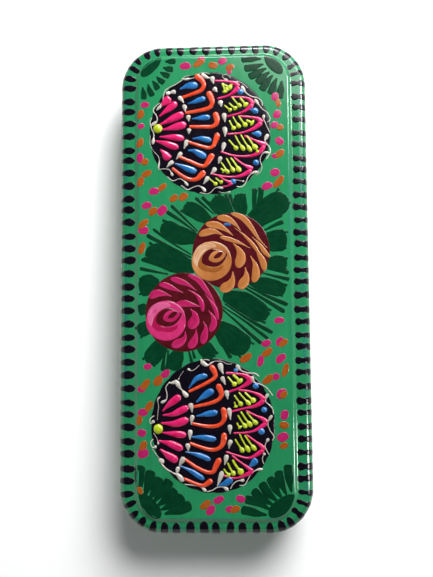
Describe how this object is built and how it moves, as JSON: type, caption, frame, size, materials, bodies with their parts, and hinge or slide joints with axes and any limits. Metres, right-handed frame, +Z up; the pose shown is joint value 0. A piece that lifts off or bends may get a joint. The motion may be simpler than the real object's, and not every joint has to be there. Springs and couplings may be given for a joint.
{
  "type": "hinged tin pencil box",
  "caption": "Shallow rounded tin box with a hinged, hand-painted lid: a raised pressed panel with relief-painted medallions and roses on green lacquer.",
  "frame": {"origin": "centre of the bounding box, on the flat underside that the box stands on", "axes": "+X along the length, +Y from the opening edge to the hinges, +Z up through the lid"},
  "size_m": [0.2, 0.0776, 0.025],
  "materials": {
    "green_lacquer": "gloss lacquer, thin, with bluish underpaint at the ridges",
    "tinplate": "satin, slightly dulled",
    "hinge_tin": "satin",
    "hinge_steel": "satin",
    "black_enamel": "gloss",
    "dark_green_enamel": "gloss",
    "pink_enamel": "gloss",
    "orange_enamel": "gloss",
    "ochre_enamel": "gloss, streaked",
    "maroon_enamel": "gloss",
    "white_relief": "gloss raised paint",
    "pink_relief": "gloss raised paint",
    "blue_relief": "gloss raised paint",
    "orange_relief": "gloss raised paint",
    "yellow_relief": "gloss raised paint"
  },
  "bodies": {
    "base": {"base_shell": "green_lacquer", "base_hinge_leaf_left": "hinge_tin", "base_hinge_leaf_right": "hinge_tin", "hinge_pin_left": "hinge_steel", "hinge_pin_right": "hinge_steel"},
    "lid": {"lid_shell": "green_lacquer", "lid_hinge_leaf_left": "hinge_tin", "lid_hinge_leaf_right": "hinge_tin"}
  },
  "joints": [
    {"name": "lid_hinge", "type": "hinge", "parent": "base", "child": "lid", "pos_m": [0, 0.03775, 0.0112], "axis": [-1, 0, 0], "range_deg": [0, 160]}
  ]
}
